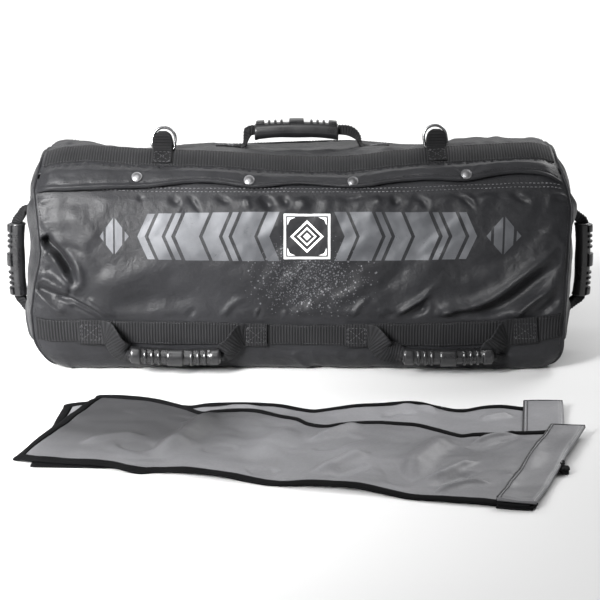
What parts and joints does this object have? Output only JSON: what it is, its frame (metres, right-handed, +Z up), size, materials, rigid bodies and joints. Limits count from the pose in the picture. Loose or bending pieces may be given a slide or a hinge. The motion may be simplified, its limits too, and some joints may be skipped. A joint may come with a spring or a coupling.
{
  "type": "sandbag trainer",
  "caption": "Zipped nylon duffel for sand sleeves, with padded grips on webbing handles at the top, both sides and both ends, two rings, and empty sleeves laid in front.",
  "frame": {"origin": "centre of the bag's underside, on the floor", "axes": "+X along the bag to the right as seen from its zip side, -Y out of the front (zip side), +Z up"},
  "size_m": [0.8369, 0.8365, 0.333],
  "materials": {
    "black_nylon": "coated plain-weave nylon, satin",
    "black_webbing": "ribbed polyester webbing, matt",
    "zip_tape": "woven tape, matt",
    "zip_coil": "nylon coil, matt",
    "zip_metal": "black enamel on zinc, satin",
    "snap_metal": "nickel plated, worn",
    "ring_metal": "nickel plated welded wire",
    "grip_rubber": "moulded, semi-gloss",
    "grey_tarpaulin": "vinyl coated cloth, satin, creased",
    "grey_cuff": "vinyl coated cloth, doubled",
    "filled_sleeve": "vinyl coated cloth, tight over sand"
  },
  "bodies": {
    "bag": {"wrap_shell": "black_nylon", "left_end_panel": "black_nylon", "right_end_panel": "black_nylon", "top_front_band": "black_webbing", "top_rear_band": "black_webbing", "lower_front_band": "black_webbing", "lower_rear_band": "black_webbing", "zip_tape_upper": "zip_tape", "zip_tape_lower": "zip_tape", "zip_coil": "zip_coil", "ring_tab_left": "black_webbing", "ring_tab_right": "black_webbing", "snap_stud_1": "snap_metal", "snap_stud_2": "snap_metal", "snap_stud_3": "snap_metal", "snap_stud_4": "snap_metal", "filled_filler_front": "filled_sleeve", "filled_filler_rear": "filled_sleeve", "top_tack_left": "black_webbing", "top_tack_right": "black_webbing", "front_left_tack_a": "black_webbing", "front_left_tack_b": "black_webbing", "front_right_tack_a": "black_webbing", "front_right_tack_b": "black_webbing", "rear_left_tack_a": "black_webbing", "rear_left_tack_b": "black_webbing", "rear_right_tack_a": "black_webbing", "rear_right_tack_b": "black_webbing", "left_end_tack_lower": "black_webbing", "left_end_tack_upper": "black_webbing", "right_end_tack_lower": "black_webbing", "right_end_tack_upper": "black_webbing"},
    "flap": {"closure_flap": "black_nylon", "snap_cap_1": "snap_metal", "snap_cap_2": "snap_metal", "snap_cap_3": "snap_metal", "snap_cap_4": "snap_metal"},
    "zip_slider": {"slider_body": "zip_metal", "pull_tab": "zip_metal"},
    "ring_left": {"d_ring_left": "ring_metal"},
    "ring_right": {"d_ring_right": "ring_metal"},
    "top_handle": {"top_handle_strap": "black_webbing", "top_handle_grip": "grip_rubber"},
    "front_left_handle": {"front_left_handle_strap": "black_webbing", "front_left_handle_grip": "grip_rubber"},
    "front_right_handle": {"front_right_handle_strap": "black_webbing", "front_right_handle_grip": "grip_rubber"},
    "rear_left_handle": {"rear_left_handle_strap": "black_webbing", "rear_left_handle_grip": "grip_rubber"},
    "rear_right_handle": {"rear_right_handle_strap": "black_webbing", "rear_right_handle_grip": "grip_rubber"},
    "left_end_handle": {"left_end_handle_strap": "black_webbing", "left_end_handle_grip": "grip_rubber"},
    "right_end_handle": {"right_end_handle_strap": "black_webbing", "right_end_handle_grip": "grip_rubber"},
    "filler_lower": {"filler_lower_sleeve": "grey_tarpaulin", "filler_lower_cuff": "grey_cuff"},
    "filler_upper": {"filler_upper_sleeve": "grey_tarpaulin", "filler_upper_cuff": "grey_cuff"}
  },
  "joints": [
    {"name": "flap_hinge", "type": "hinge", "parent": "bag", "child": "flap", "pos_m": [0, -0.09667, 0.28163], "axis": [-1, 0, 0], "range_deg": [0, 100]},
    {"name": "zip_slide", "type": "slide", "parent": "bag", "child": "zip_slider", "axis": [-1, 0, 0], "range_m": [0, 0.605]},
    {"name": "ring_left_swing", "type": "hinge", "parent": "bag", "child": "ring_left", "pos_m": [-0.185, -0.064, 0.3], "axis": [1, 0, 0], "range_deg": [-80, 60]},
    {"name": "ring_right_swing", "type": "hinge", "parent": "bag", "child": "ring_right", "pos_m": [0.192, -0.064, 0.3], "axis": [1, 0, 0], "range_deg": [-80, 60]},
    {"name": "top_handle_swing", "type": "hinge", "parent": "bag", "child": "top_handle", "pos_m": [0, 0, 0.3105], "axis": [1, 0, 0], "range_deg": [-60, 60]},
    {"name": "front_left_handle_swing", "type": "hinge", "parent": "bag", "child": "front_left_handle", "pos_m": [-0.168, -0.15504, 0.068], "axis": [-1, 0, 0], "range_deg": [0, 150]},
    {"name": "front_right_handle_swing", "type": "hinge", "parent": "bag", "child": "front_right_handle", "pos_m": [0.19355, -0.15504, 0.068], "axis": [-1, 0, 0], "range_deg": [0, 150]},
    {"name": "rear_left_handle_swing", "type": "hinge", "parent": "bag", "child": "rear_left_handle", "pos_m": [-0.168, 0.15504, 0.068], "axis": [1, 0, 0], "range_deg": [0, 150]},
    {"name": "rear_right_handle_swing", "type": "hinge", "parent": "bag", "child": "rear_right_handle", "pos_m": [0.19355, 0.15504, 0.068], "axis": [1, 0, 0], "range_deg": [0, 150]},
    {"name": "left_end_handle_swing", "type": "hinge", "parent": "bag", "child": "left_end_handle", "pos_m": [-0.3905, 0, 0.128], "axis": [0, 0, 1], "range_deg": [-60, 60]},
    {"name": "right_end_handle_swing", "type": "hinge", "parent": "bag", "child": "right_end_handle", "pos_m": [0.3905, 0, 0.128], "axis": [0, 0, 1], "range_deg": [-60, 60]},
    {"name": "filler_lower_carry", "type": "slide", "parent": "bag", "child": "filler_lower", "axis": [0, -1, 0], "range_m": [0, 0.4]},
    {"name": "filler_upper_lift", "type": "slide", "parent": "filler_lower", "child": "filler_upper", "axis": [0, 0, 1], "range_m": [0, 0.3]}
  ]
}
